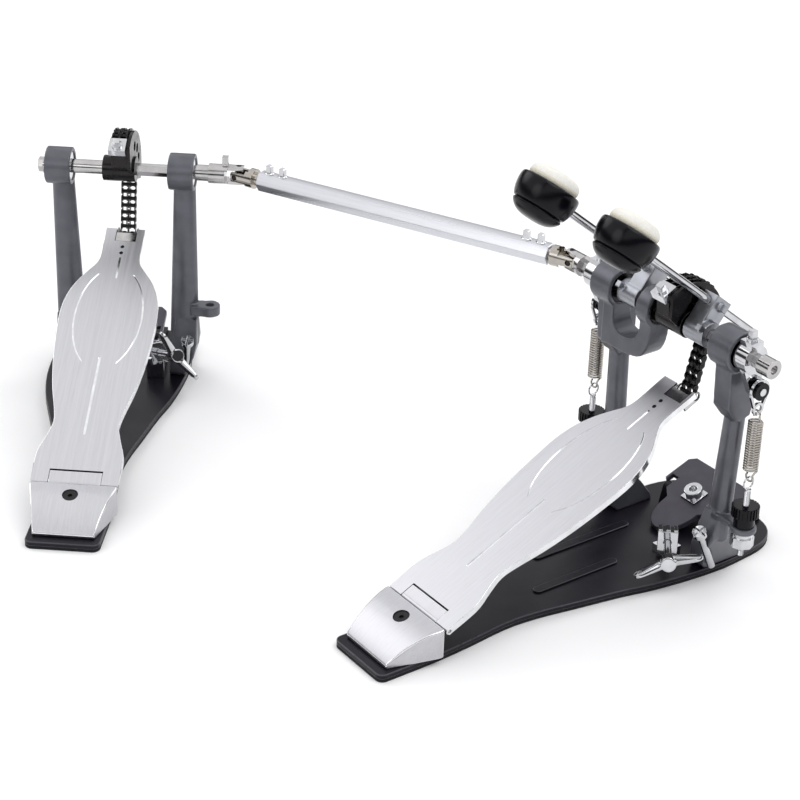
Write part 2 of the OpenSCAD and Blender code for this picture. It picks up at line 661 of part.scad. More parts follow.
// Free stretch from the cam down to the footboard's clamp
leave = chain_r * [cos(chain_leave), sin(chain_leave)];
span_v = attach - leave;
span_l = norm(span_v);
span_turn = atan2(span_v[1], span_v[0]) + 90;
module chain_span() {
    links = floor(span_l / chain_pitch);
    color(chain_black) translate([chain_x, leave[0], axle_h + leave[1]]) rotate([span_turn, 0, 0])
    difference() {
        union() {
            translate([-chain_w/2, -link_h/2, -span_l - 2.4]) cube([chain_w, link_h, span_l + 1.6]);
            // end pin held by the clamp's cheeks
            translate([0.1 - clamp_half, 0, -span_l]) rotate([0, 90, 0])
                cylinder(h = 2 * (clamp_half - 0.1), r = end_pin_r);
        }
        for (k = [0:links-1]) for (lane = [-1, 1])
            translate([lane * lane_x - 2, -5, -(k + 0.5) * chain_pitch - 0.9]) cube([4, 10, 1.8]);
    }
}
// Bracket that pins the chain's end to the cam, with its key bolt
module chain_anchor() {
    color([0.78, 0.79, 0.8]) translate([0, 0, axle_h]) rotate([anchor_turn, 0, 0]) {
        difference() {
            translate([chain_x - 7.2, cam_rim_r + 0.2, -3]) cube([14.4, 6.6, 14]);
            translate([chain_x - 6.2, cam_rim_r - 1, -4]) cube([12.4, 5, 6]);
        }
        translate([chain_x, cam_rim_r + 6.8, 5]) rotate([-90, 0, 0]) key_bolt(shank = 0, head = 6);
    }
}
module beater_holder(x, lean, side) {
    // block round the rod on a hub round the axle; side says which way the hub reaches
    hub_x = side > 0 ? -7 : -14;
    color(cast_silver) difference() {
        beater_frame(x, lean) union() {
            translate([hub_x, 0, 0]) rotate([0, 90, 0]) cylinder(h = 21, r = 10);
            translate([-7.5, 4, -9]) cube([15, rod_offset + 2.5, 18]);
        }
        axle_hex(x - 30, x + 30, hex_af);
        beater_frame(x, lean) translate([0, rod_offset, -20]) cylinder(h = 40, r = rod_r + run);
    }
    // one key bolt locks the hub on the axle, the other locks the rod
    color(bolt_chrome) beater_frame(x, lean) {
        translate([side * 10.8, 0, 9.7]) key_bolt(shank = 0, head = 5, collar_r = 3.2);
        translate([side * 7.4, rod_offset, 0]) rotate([0, side * 90, 0])
            key_bolt(shank = 0, head = 5, collar_r = 3.6);
    }
}
module rocker(x, roller_x) {
    // hub clamped on the shaft by a key bolt, with an arm down to the roller pin
    along = roller_x > x ? 1 : -1;
    color([0.74, 0.75, 0.77]) difference() {
        union() {
            axle_rod(x - 6, x + 6, 11.5);
            // flat pad for the key bolt
            translate([x - 6, -6, axle_h]) cube([12, 12, 14]);
            translate([0, 0, axle_h]) rotate([rocker_front, 0, 0])
                yz_slab(x - (along > 0 ? 3 : 2.2), x + (along > 0 ? 2.2 : 3))
                    polygon(concat([[-10, 0]], arc([0, -rocker_arm], 6, 190, 350, 12), [[10, 0]]));
        }
        axle_hex(x - 20, x + 20, hex_af);
    }
    color([0.74, 0.75, 0.77]) translate([x, 0, axle_h + 14]) key_bolt(shank = 0, head = 8);
    color([0.06, 0.06, 0.07]) translate([roller_x, roller_y, roller_z]) rotate([0, 90, 0]) {
        // pin, and the grooved roller that the stirrup hangs on
        translate([0, 0, along > 0 ? x - roller_x : -4])
            cylinder(h = abs(x - roller_x) + 4, r = roller_pin_r);
        difference() {
            cylinder(h = 6, r = roller_r, center = true);
            difference() {
                cylinder(h = 3, r = roller_r + 1, center = true);
                cylinder(h = 4, r = roller_r - 1.2, center = true);
            }
        }
    }
}
module beater_rod(x, lean, reach, tail) {
    color([0.8, 0.81, 0.82]) beater_frame(x, lean) translate([0, rod_offset, -tail])
        cylinder(h = tail + reach - 4, r = rod_r);
}
// Head: a rounded barrel across the rod; its pad faces the drum when the beater swings up
head_back = -20.5;      // flat end of the head, from the rod's line
head_front = 10;        // where the pad starts
head_fn = 64;
module beater_head(x, lean, reach) {
    color([0.05, 0.05, 0.06]) beater_frame(x, lean) translate([0, rod_offset, reach]) rotate([-90, 0, 0])
    difference() {
        rotate_extrude($fn = head_fn) polygon(concat(
            [[0, head_back], [head_r - 9, head_back]],
            bend([head_r - 9, head_back], [head_r - 5.6, -20], [head_r - 4.8, -14.5], 5),
            [[head_r - 5.8, -13.5], [head_r - 5.4, -12.8]],
            bend([head_r - 4.8, -12.6], [head_r - 1.5, -5], [head_r, 3], 6),
            bend([head_r, 3], [head_r, 9.5], [head_r - 3.6, head_front], 5), [[0, head_front]]));
        rotate([90, 0, 0]) translate([0, 0, -40]) cylinder(h = 36, r = rod_r);
    }
}
module beater_pad(x, lean, reach) {
    color([0.93, 0.91, 0.84]) beater_frame(x, lean) translate([0, rod_offset, reach]) rotate([-90, 0, 0])
        translate([0, 0, head_front]) rotate_extrude($fn = head_fn) polygon(concat(
            [[0, 0], [head_r - 4.4, 0]],
            bend([head_r - 4.4, 0], [head_r - 4.2, 6.5], [head_r - 8.4, 8], 5),
            bend([head_r - 8.4, 8], [8, 9.8], [0, 9.8], 5)));
}

// ---- Shafts ----
module main_shaft() {
    color(shaft_steel) {
        axle_rod(inner_bearing_x + 0.4, inner_bearing_x + 8, journal_r);
        axle_hex(inner_bearing_x + 8, post_out_x - journal_half, hex_af);
        axle_rod(post_out_x - journal_half, post_out_x + journal_half, journal_r);
        axle_hex(post_out_x + journal_half, axle_end_x - 12, hex_af);
        difference() {
            axle_rod(axle_end_x - 12, axle_end_x, 7.4);
            axle_rod(axle_end_x - 3, axle_end_x + 1, 3.4);
        }
    }
}
// A forked yoke along +X, its arms reaching past the joint's centre at the origin
arm_past = 4;           // how far a yoke's arms reach past the pin
arm_half = 3.9;         // half width of a yoke's arms
yoke_reach = 9.5;       // length of the arms, from the hub to the pin
module yoke(base, pin_up) {
    rotate([pin_up ? 0 : 90, 0, 0]) difference() {
        union() {
            rotate([0, 90, 0]) translate([0, 0, base]) cylinder(h = -base - yoke_reach, r = yoke_r);
            intersection() {
                translate([base, -6.5, -yoke_r]) cube([-base + arm_past, 13, 2 * yoke_r]);
                rotate([0, 90, 0]) translate([0, 0, base]) cylinder(h = -base + arm_past, r = yoke_r);
            }
        }
        translate([-12, -20, -yoke_slot/2]) cube([33, 40, yoke_slot]);
        // the arms are narrower than the hub
        for (side = [-1, 1]) translate([-yoke_reach, side > 0 ? arm_half : -20 - arm_half, -20])
            cube([22, 20, 40]);
        cylinder(h = 30, r = pivot_r + pivot_play, center = true);
    }
}
module joint_cross() {
    color([0.35, 0.35, 0.37]) {
        cube([6.4, 6.4, 6.4], center = true);
        cylinder(h = 2 * yoke_r - 1.2, r = pivot_r, center = true);
        rotate([90, 0, 0]) cylinder(h = 2 * yoke_r - 1.2, r = pivot_r, center = true);
    }
}
module left_hub() {
    color(shaft_steel) {
        translate([joint_x, 0, axle_h]) mirror([1, 0, 0]) yoke(-15, true);
        axle_hex(joint_x + 15, post_in_x - journal_half, hex_af);
        axle_rod(post_in_x - journal_half, post_in_x + journal_half, journal_r);
        axle_hex(post_in_x + journal_half, inner_bearing_x - 8, hex_af);
        axle_rod(inner_bearing_x - 8, inner_bearing_x - 0.4, journal_r);
    }
}
module drive_tube() {
    // flat-sided aluminium tube with two key bolts at each end
    color([0.85, 0.86, 0.88]) drive_frame() {
        difference() {
            translate([tube_start, 0, 0]) rotate([0, 90, 0]) rotate([0, 0, 30])
                cylinder(h = tube_end - tube_start, r = tube_af / sqrt(3), $fn = 6);
            translate([tube_start - 1, 0, 0]) rotate([0, 90, 0])
                cylinder(h = tube_end - tube_start + 2, r = drive_rod_r + 0.1);
        }
    }
    color(bolt_chrome) drive_frame()
        for (x = [tube_start + 9, tube_start + 22, tube_end - 22, tube_end - 9])
            translate([x, 0, tube_af / 2 - sink]) key_bolt(shank = 2, head = 8);
}
module tube_yoke_right() {
    color(joint_nickel) drive_frame() translate([drive_l, 0, 0]) {
        yoke(-17, false);
        rotate([0, -90, 0]) translate([0, 0, 16]) cylinder(h = 46, r = drive_rod_r);
    }
}
module drive_rod_left() {
    color(joint_nickel) drive_frame() {
        mirror([1, 0, 0]) yoke(-17, false);
        rotate([0, 90, 0]) translate([0, 0, 16]) cylinder(h = 120, r = drive_rod_r);
    }
}
slave_hex_x = chain_x - chain_shift - 16.2; // the round journal turns hexagonal here, beside the cam
module slave_shaft() {
    color(shaft_steel) {
        axle_hex(slave_nut_x, slave_nut_x + 4, 11.4);
        axle_rod(slave_nut_x + 4, slave_hex_x, journal_r);
        axle_hex(slave_hex_x, slave_post_x - journal_half, hex_af);
        axle_rod(slave_post_x - journal_half, slave_post_x + journal_half, journal_r);
        axle_rod(slave_post_x + journal_half, slave_joint_x - 26, 7);
        axle_rod(slave_joint_x - 26, slave_joint_x - 14, yoke_r);
        translate([slave_joint_x, 0, axle_h]) yoke(-15, true);
        translate([slave_joint_x - 11.8, 0, axle_h + yoke_r - 0.2]) key_bolt(shank = 1, head = 8, collar_r = 3);
    }
}

// ---- Posts of the slave pedal ----
module slave_post(side) {
    front = [[36, plate_top], [50, plate_top], [60, 30], [63, 44], [62.5, foot_top], [44, foot_top],
        [40, 40], [37, 14]];
    foot([for (p = front) [side * p[0], p[1]]]);
    column([side * 50.5, 13, 40], [side * slave_post_x, 9.6, 193]);
    bearing_housing(side * slave_post_x);
}
slave_lug_x = 74;
slave_lug_z = 71;
slave_lug_t = 9;
slave_lug_bore = 3.6;
module post_outer_left() {
    color(post_grey) difference() {
        slave_post(-1);
        bearing_seat(-slave_post_x);
        spur_hole(-54, -1);
    }
}
module post_inner_left() {
    color(post_grey) difference() {
        union() {
            slave_post(1);
            // spare lug for a spring
            translate([slave_lug_x, spring_y, slave_lug_z]) cylinder(h = slave_lug_t, r = 9);
            translate([58, spring_y - 8, slave_lug_z]) cube([slave_lug_x - 58, 16, slave_lug_t]);
        }
        bearing_seat(slave_post_x);
        translate([slave_lug_x, spring_y, 60]) cylinder(h = 40, r = slave_lug_bore);
        spur_hole(54, 1);
    }
}

// ---- Groups of fixed hardware ----
module bearings_right() {
    color([0.25, 0.25, 0.27]) {
        bearing_ring(post_out_x, 20);
        bearing_ring(post_in_x, 20);
        bearing_ring(inner_bearing_x, inner_housing_w);
    }
}
module fasteners_right() {
    color(bolt_chrome) {
        heel_screw();
        spur(58, 1);
        spur(-66, -1);
    }
}
module bearings_and_fasteners_left() {
    color(bolt_chrome) {
        heel_screw();
        for (side = [-1, 1]) {
            bearing_ring(side * slave_post_x, 20);
            spur(side * 54, side);
        }
    }
}
module hoop_clamp(w) {
    hoop_clamp_body();
    color(bolt_chrome) wing_block(w);
}

base_pad();  // base_pad_right
base_plate();  // base_plate_right
heel_plate();  // heel_plate_right
post_outer_right();
post_inner_right();
bearings_right();
fasteners_right();
hoop_clamp(main_wing);  // hoop_clamp_body_right
clamp_jaw();  // clamp_jaw_right
wing_bolt(main_wing, 22);  // wing_bolt_right
tension_knob(spring_r_x);  // tension_knob_right
tension_knob(spring_l_x);  // tension_knob_left
spring_rods();
spring_coil(spring_r_x);  // spring_coil_right
spring_coil(spring_l_x);  // spring_coil_left
stirrup(spring_r_x);  // spring_stirrup_right
stirrup(spring_l_x);  // spring_stirrup_left
footboard(chain_shift);  // footboard_right
chain_clamp(chain_shift);  // chain_clamp_right
main_shaft();
translate([chain_shift, 0, 0]) cam();  // cam_right
translate([chain_shift, 0, 0]) chain_anchor();  // chain_anchor_right
translate([chain_shift, 0, 0]) chain_wrap();  // chain_wrap_right
translate([chain_shift, 0, 0]) chain_upper();  // chain_upper_right
translate([chain_shift, 0, 0]) chain_middle();  // chain_middle_right
translate([chain_shift, 0, 0]) chain_span();  // chain_span_right
beater_holder(holder_r_x, lean_r, 1);  // beater_holder_right
rocker(rocker_r_x, spring_r_x);  // rocker_right
beater_rod(holder_r_x, lean_r, beater_reach_r, 54);  // beater_rod_right
beater_head(holder_r_x, lean_r, beater_reach_r);  // beater_head_right
beater_pad(holder_r_x, lean_r, beater_reach_r);  // beater_pad_right
left_hub();
beater_holder(holder_l_x, lean_l, -1);  // beater_holder_left
rocker(rocker_l_x, spring_l_x);  // rocker_left
beater_rod(holder_l_x, lean_l, beater_reach_l, 40);  // beater_rod_left
beater_head(holder_l_x, lean_l, beater_reach_l);  // beater_head_left
beater_pad(holder_l_x, lean_l, beater_reach_l);  // beater_pad_left
drive_frame() translate([drive_l, 0, 0]) joint_cross();  // joint_cross_right
tube_yoke_right();
drive_tube();
drive_rod_left();
drive_frame() joint_cross();  // joint_cross_left
slave() base_pad();  // base_pad_left
slave() base_plate();  // base_plate_left
slave() heel_plate();  // heel_plate_left
slave() post_outer_left();
slave() post_inner_left();
slave() bearings_and_fasteners_left();
slave() hoop_clamp(slave_wing);  // hoop_clamp_body_left
slave() clamp_jaw();  // clamp_jaw_left
slave() wing_bolt(slave_wing, -60);  // wing_bolt_left
slave() footboard(-chain_shift);  // footboard_left
slave() chain_clamp(-chain_shift);  // chain_clamp_left
slave() slave_shaft();
slave() translate([-chain_shift, 0, 0]) cam();  // cam_left
slave() translate([-chain_shift, 0, 0]) chain_anchor();  // chain_anchor_left
slave() translate([-chain_shift, 0, 0]) chain_wrap();  // chain_wrap_left
slave() translate([-chain_shift, 0, 0]) chain_upper();  // chain_upper_left
slave() translate([-chain_shift, 0, 0]) chain_middle();  // chain_middle_left
slave() translate([-chain_shift, 0, 0]) chain_span();  // chain_span_left
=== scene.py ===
"""Looks of the double bass drum pedal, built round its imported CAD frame. Lengths are in metres."""

import json
import math

import bmesh
import bpy
import numpy as np
from mathutils import Matrix, Vector

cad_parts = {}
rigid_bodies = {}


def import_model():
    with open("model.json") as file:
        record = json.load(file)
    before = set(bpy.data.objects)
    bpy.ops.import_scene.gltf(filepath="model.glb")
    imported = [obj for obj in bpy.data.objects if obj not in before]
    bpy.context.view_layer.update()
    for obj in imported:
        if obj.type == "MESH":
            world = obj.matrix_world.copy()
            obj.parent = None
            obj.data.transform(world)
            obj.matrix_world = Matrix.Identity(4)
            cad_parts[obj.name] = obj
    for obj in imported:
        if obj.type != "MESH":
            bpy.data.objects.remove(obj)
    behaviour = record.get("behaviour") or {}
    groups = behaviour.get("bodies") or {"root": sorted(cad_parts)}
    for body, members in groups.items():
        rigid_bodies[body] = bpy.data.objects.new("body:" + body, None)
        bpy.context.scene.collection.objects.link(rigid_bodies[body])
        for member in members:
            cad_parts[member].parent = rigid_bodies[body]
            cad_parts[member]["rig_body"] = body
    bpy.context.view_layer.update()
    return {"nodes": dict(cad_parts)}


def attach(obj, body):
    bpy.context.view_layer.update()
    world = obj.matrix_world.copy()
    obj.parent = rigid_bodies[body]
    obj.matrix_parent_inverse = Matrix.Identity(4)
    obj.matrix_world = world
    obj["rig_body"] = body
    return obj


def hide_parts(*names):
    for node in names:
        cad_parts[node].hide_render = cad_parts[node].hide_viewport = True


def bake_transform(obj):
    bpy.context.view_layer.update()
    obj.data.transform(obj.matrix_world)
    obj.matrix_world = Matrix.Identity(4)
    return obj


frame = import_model()
NODES = frame["nodes"]
MM = 0.001

# ---- Sizes shared with the CAD model ----
AXLE_H = 208 * MM
SLAVE = Matrix.Translation((-475 * MM, -208 * MM, 0)) @ Matrix.Rotation(math.radians(50), 4, "Z")
MAIN = Matrix.Identity(4)
BOARD = Matrix.Translation((0, -230 * MM, 28 * MM)) @ Matrix.Rotation(math.radians(25.4), 4, "X")
DRIVE_TURN = math.radians(24.24)
CHAIN_R = 32 * MM
CHAIN_PITCH = 6.35 * MM
LINK_H = 5.6 * MM
CHAIN_HALF = 7 * MM
CHAIN_ATTACH = Vector((16.52 * MM, -67.37 * MM))  # y and z from the axle
CHAIN_X = {"right": 5.7 * MM, "left": 1.3 * MM}
ROLLER = Vector((7.48 * MM, 181.02 * MM))  # y and z of the spring roller
SPRING_X = {"right": 87.5 * MM, "left": -92 * MM}
BEATER_X = {"right": 26 * MM, "left": -42 * MM}
BEATER_REACH = {"right": 119 * MM, "left": 143 * MM}
BEATER_LEAN = math.radians(52)
ROD_OFFSET = 21.5 * MM


# ---- Materials ----
class Surface:
    """A procedural material whose colour, gloss and relief vary in the object's own space."""

    def __init__(self, name, colour, roughness, metallic=0.0, turn=None, specular=0.5):
        self.material = bpy.data.materials.new(name)
        self.material.use_nodes = True
        self.tree = self.material.node_tree
        self.shader = self.tree.nodes["Principled BSDF"]
        self.colour = colour
        self.material.diffuse_color = (*colour, 1)
        self.shader.inputs["Base Color"].default_value = (*colour, 1)
        self.shader.inputs["Roughness"].default_value = roughness
        self.shader.inputs["Metallic"].default_value = metallic
        self.shader.inputs["Specular IOR Level"].default_value = specular
        self.roughness = roughness
        coordinates = self.tree.nodes.new("ShaderNodeTexCoord")
        self.place = coordinates.outputs["Object"]
        if turn is not None:
            mapping = self.tree.nodes.new("ShaderNodeMapping")
            mapping.inputs["Rotation"].default_value = turn
            self.tree.links.new(self.place, mapping.inputs["Vector"])
            self.place = mapping.outputs["Vector"]

    def noise(self, scale, stretch=None, detail=3.0):
        place = self.place
        if stretch:
            mapping = self.tree.nodes.new("ShaderNodeMapping")
            mapping.inputs["Scale"].default_value = stretch
            self.tree.links.new(place, mapping.inputs["Vector"])
            place = mapping.outputs["Vector"]
        texture = self.tree.nodes.new("ShaderNodeTexNoise")
        texture.inputs["Scale"].default_value = scale
        texture.inputs["Detail"].default_value = detail
        self.tree.links.new(place, texture.inputs["Vector"])
        return texture.outputs["Fac"]

    def ramp(self, factor, low, high, start=0.3, end=0.7):
        node = self.tree.nodes.new("ShaderNodeMapRange")
        for socket, value in (("From Min", start), ("From Max", end), ("To Min", low), ("To Max", high)):
            node.inputs[socket].default_value = value
        self.tree.links.new(factor, node.inputs["Value"])
        return node.outputs["Result"]

    def mottle(self, factor, other, start=0.35, end=0.65):
        """Blends the base colour towards another one."""
        node = self.tree.nodes.new("ShaderNodeMix")
        node.data_type = "RGBA"
        colour = self.shader.inputs["Base Color"]
        if colour.is_linked:
            self.tree.links.new(colour.links[0].from_socket, node.inputs["A"])
        else:
            node.inputs[6].default_value = (*self.colour, 1)
        node.inputs[7].default_value = (*other, 1)
        self.tree.links.new(self.ramp(factor, 0, 1, start, end), node.inputs["Factor"])
        self.tree.links.new(node.outputs[2], colour)
        return self

    def gloss(self, factor, spread):
        low, high = max(self.roughness - spread, 0.02), self.roughness + spread
        self.tree.links.new(self.ramp(factor, low, high), self.shader.inputs["Roughness"])
        return self

    def relief(self, factor, strength, depth):
        bump = self.tree.nodes.new("ShaderNodeBump")
        bump.inputs["Strength"].default_value = strength
        bump.inputs["Distance"].default_value = depth
        normal = self.shader.inputs["Normal"]
        if normal.is_linked:
            self.tree.links.new(normal.links[0].from_socket, bump.inputs["Normal"])
        self.tree.links.new(factor, bump.inputs["Height"])
        self.tree.links.new(bump.outputs["Normal"], normal)
        return self


def shade(colour, by):
    return tuple(min(c * by, 1) for c in colour)


def painted(name, colour, roughness, orange_peel=0.12, metallic=0.0, specular=0.5):
    s = Surface(name, colour, roughness, metallic, specular=specular)
    s.mottle(s.noise(60), shade(colour, 1.25))
    s.gloss(s.noise(25), 0.06)
    s.relief(s.noise(1500, detail=1), orange_peel, 0.1 * MM)
    return s.material


def metal(name, colour, roughness, spread=0.06, grain=0.05):
    s = Surface(name, colour, roughness, 1.0)
    s.mottle(s.noise(90), shade(colour, 0.86))
    s.gloss(s.noise(140), spread)
    s.relief(s.noise(700), grain, 0.05 * MM)
    return s.material


def brushed(name, colour, roughness, turn):
    """Aluminium brushed along the local Y axis after the given turn."""
    s = Surface(name, colour, roughness, 1.0, turn=turn)
    fine = s.noise(1, (3600, 60, 1200), 2)
    broad = s.noise(1, (700, 6, 300), 3)
    s.mottle(fine, shade(colour, 0.90), 0.35, 0.7)
    s.mottle(broad, shade(colour, 1.05), 0.4, 0.8)
    s.gloss(broad, 0.04)
    s.relief(fine, 0.08, 0.03 * MM)
    return s.material


def turn_of(matrix):
    return tuple(matrix.to_3x3().inverted().to_euler("XYZ"))


def build_materials():
    light_metal = (0.57, 0.57, 0.595)
    made = {
        "pad_rubber": painted("pad_rubber", (0.009, 0.009, 0.011), 0.6, 0.5, specular=0.2),
        "base_black": painted("base_black", (0.007, 0.006, 0.010), 0.34, 0.25, specular=0.2),
        # lighter grey for the base plate's rounded edges, a painted highlight
        "base_edge_painted_highlight": painted("base_edge_painted_highlight", (0.035, 0.033, 0.042), 0.3, 0.2),
        "cast_grey": painted("cast_grey", (0.098, 0.101, 0.116), 0.33, 0.16, 0.45),
        "jaw_grey": painted("jaw_grey", (0.045, 0.041, 0.055), 0.34, 0.12, 0.2),
        "cast_silver": metal("cast_silver", (0.36, 0.37, 0.40), 0.34, 0.06, 0.25),
        "chrome": metal("chrome", (0.63, 0.635, 0.65), 0.06, 0.03, 0.03),
        "steel": metal("steel", (0.52, 0.51, 0.505), 0.15, 0.05, 0.06),
        "nickel": metal("nickel", (0.47, 0.44, 0.40), 0.17, 0.05, 0.06),
        "board_edge": metal("board_edge", (0.84, 0.845, 0.86), 0.12, 0.04, 0.04),
        "black_oxide": metal("black_oxide", (0.032, 0.030, 0.031), 0.24, 0.08, 0.12),
        "black_plastic": painted("black_plastic", (0.002, 0.002, 0.0035), 0.24, 0.1, specular=0.2),
        # black for the screws, and black put on gap walls and edge chamfers as painted shade
        "black_screw_and_painted_shade": painted("black_screw_and_painted_shade", (0.005, 0.005, 0.006), 0.45, 0.1, specular=0.3),
        "tube_bright": brushed("tube_bright", (0.66, 0.67, 0.70), 0.30,
                               (0, 0, -DRIVE_TURN + math.pi / 2)),
        "brushed_right": brushed("brushed_right", light_metal, 0.38, turn_of(BOARD)),
        "brushed_left": brushed("brushed_left", light_metal, 0.38, turn_of(SLAVE @ BOARD)),
    }
    felt = Surface("felt", (0.80, 0.77, 0.65), 0.9, specular=0.2)
    felt.mottle(felt.noise(900, detail=6), (0.70, 0.67, 0.54), 0.45, 0.7)
    felt.relief(felt.noise(2200, detail=6), 0.5, 0.3 * MM)
    made["felt"] = felt.material
    face = Surface("pad_face", (0.82, 0.81, 0.755), 0.6, specular=0.3)
    face.mottle(face.noise(500, detail=5), (0.77, 0.755, 0.69))
    face.relief(face.noise(1600, detail=4), 0.25, 0.2 * MM)
    made["pad_face"] = face.material
    return made


MATERIALS = build_materials()


# ---- Mesh tools ----
def link(obj):
    bpy.context.scene.collection.objects.link(obj)
    return obj


def body_of(node):
    return NODES[node]["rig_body"]


def modifier(obj, kind, **values):
    made = obj.modifiers.new(kind.lower(), kind)
    for key, value in values.items():
        setattr(made, key, value)
    return made


def clean_mesh(node):
    """The node's mesh with shared corners and whole flat faces."""
    source = NODES[node].data
    bm = bmesh.new()
    corners = [bm.verts.new(v.co) for v in source.vertices]
    for polygon in source.polygons:
        try:
            bm.faces.new([corners[i] for i in polygon.vertices])
        except ValueError:
            pass
    bmesh.ops.remove_doubles(bm, verts=bm.verts, dist=2e-6)
    bmesh.ops.dissolve_degenerate(bm, dist=1e-6, edges=bm.edges)
    bmesh.ops.dissolve_limit(bm, angle_limit=math.radians(0.5), verts=bm.verts, edges=bm.edges)
    bmesh.ops.recalc_face_normals(bm, faces=bm.faces)
    return bm


def stand_for(obj, node):
    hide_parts(node)
    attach(obj, body_of(node))
    return obj


def room_across(face):
    """For each side of a flat face, how far it is straight across the face to the next side."""
    n = face.normal
    u = n.orthogonal().normalized()
    v = n.cross(u)
    starts = np.array([(c.dot(u), c.dot(v)) for c in (loop.vert.co for loop in face.loops)])
    sides = np.roll(starts, -1, axis=0) - starts
    across = {}
    for i, loop in enumerate(face.loops):
        middle = starts[i] + sides[i] / 2
        inward = np.array((-sides[i][1], sides[i][0])) / max(np.hypot(*sides[i]), 1e-9)
        gap = starts - middle
        turn = inward[0] * sides[:, 1] - inward[1] * sides[:, 0]
        turn[np.abs(turn) < 1e-12] = 1e-12
        away = (gap[:, 0] * sides[:, 1] - gap[:, 1] * sides[:, 0]) / turn
        along = (gap[:, 0] * inward[1] - gap[:, 1] * inward[0]) / turn
        met = away[(along > -0.01) & (along < 1.01) & (away > 1e-6)]
        across[loop.edge.index] = float(met.min()) if len(met) else 1.0
    return across


def room_for(bm):
    """How far each edge may be cut back before it meets the next one, over both its faces."""
    bm.edges.index_update()
    room = [1.0] * len(bm.edges)
    for face in bm.faces:
        for index, gap in room_across(face).items():
            room[index] = min(room[index], gap)
    for vert in bm.verts:
        for edge in vert.link_edges:
            way = (edge.other_vert(vert).co - vert.co).normalized()
            for other in vert.link_edges:
                turn = way.angle((other.other_vert(vert).co - vert.co).normalized(), 0)
                if other is not edge and math.radians(25) < turn < math.radians(155):
                    room[edge.index] = min(room[edge.index], other.calc_length() * math.sin(turn))
    return room


def area_of(mesh):
    mesh.calc_loop_triangles()
    return sum(t.area for t in mesh.loop_triangles)


def holds(obj, box, area):
    """Whether the piece's modifiers leave it inside its box with about its own area."""
    result = obj.evaluated_get(bpy.context.evaluated_depsgraph_get()).data
    points = [v.co for v in result.vertices]
    slack = 0.03 * MM
    inside = all(min(p[i] for p in points) > box[0][i] - slack
                 and max(p[i] for p in points) < box[1][i] + slack for i in range(3))
    return inside and area_of(result) < 1.004 * area


# share of the wanted width, and whether the corners slide along their edges; the last one is no bevel
BEVEL_TRIES = ((1, True), (1, False), (0.7, True), (0.7, False), (0.5, True), (0.5, False),
               (0.35, True), (0.35, False), (0.2, True), (0.2, False), (0.1, True), (0, False))


def soften(node, finish, width, edge=None, sharper=28, pick=None, picks=(), where=None):
    """A copy of the CAD node with its edges rounded, as widely as its narrow faces allow.

    pick(centre, normal) chooses each face's finish, and where(middle) which edges are rounded."""
    bm = clean_mesh(node)
    weight = bm.edges.layers.float.new("bevel_weight_edge")
    limit = math.radians(sharper)
    room = room_for(bm)
    for e in bm.edges:
        sharp = len(e.link_faces) == 2 and e.calc_face_angle(0) > limit
        e.smooth = not sharp
        if sharp and e.is_convex and (where is None or where((e.verts[0].co + e.verts[1].co) / 2)):
            e[weight] = min(1.0, 0.4 * room[e.index] / width)
    mesh = bpy.data.meshes.new(node)
    for f in bm.faces:
        f.smooth = True
        if pick:
            f.material_index = pick(f.calc_center_median(), f.normal)
    bm.to_mesh(mesh)
    bm.free()
    obj = link(bpy.data.objects.new(node + ".fine", mesh))
    for name in (finish, *picks):
        mesh.materials.append(MATERIALS[name])
    if edge:
        mesh.materials.append(MATERIALS[edge])
    corners = [v.co for v in mesh.vertices]
    box = [[f(c[i] for c in corners) for i in range(3)] for f in (min, max)]
    area = area_of(mesh)
    bevel = modifier(obj, "BEVEL", width=width, segments=3, limit_method="WEIGHT", use_clamp_overlap=False,
                     material=len(mesh.materials) - 1 if edge else -1, profile=0.6)
    for scale, slide in BEVEL_TRIES:
        bevel.width, bevel.loop_slide = width * scale, slide
        if holds(obj, box, area):
            break
    modifier(obj, "WEIGHTED_NORMAL", weight=80, keep_sharp=True)
    return stand_for(obj, node)


def cast(node, finish, voxel=0.8 * MM, passes=6, keep=0.35):
    """A copy of the CAD node as a casting: every edge and inside corner is blended."""
    bm = clean_mesh(node)
    mesh = bpy.data.meshes.new(node)
    bm.to_mesh(mesh)
    bm.free()
    obj = link(bpy.data.objects.new(node + ".cast", mesh))
    mesh.materials.append(MATERIALS[finish])
    modifier(obj, "REMESH", mode="VOXEL", voxel_size=voxel, use_smooth_shade=True)
    modifier(obj, "SMOOTH", factor=0.5, iterations=passes)
    modifier(obj, "DECIMATE", ratio=keep)
    return stand_for(obj, node)


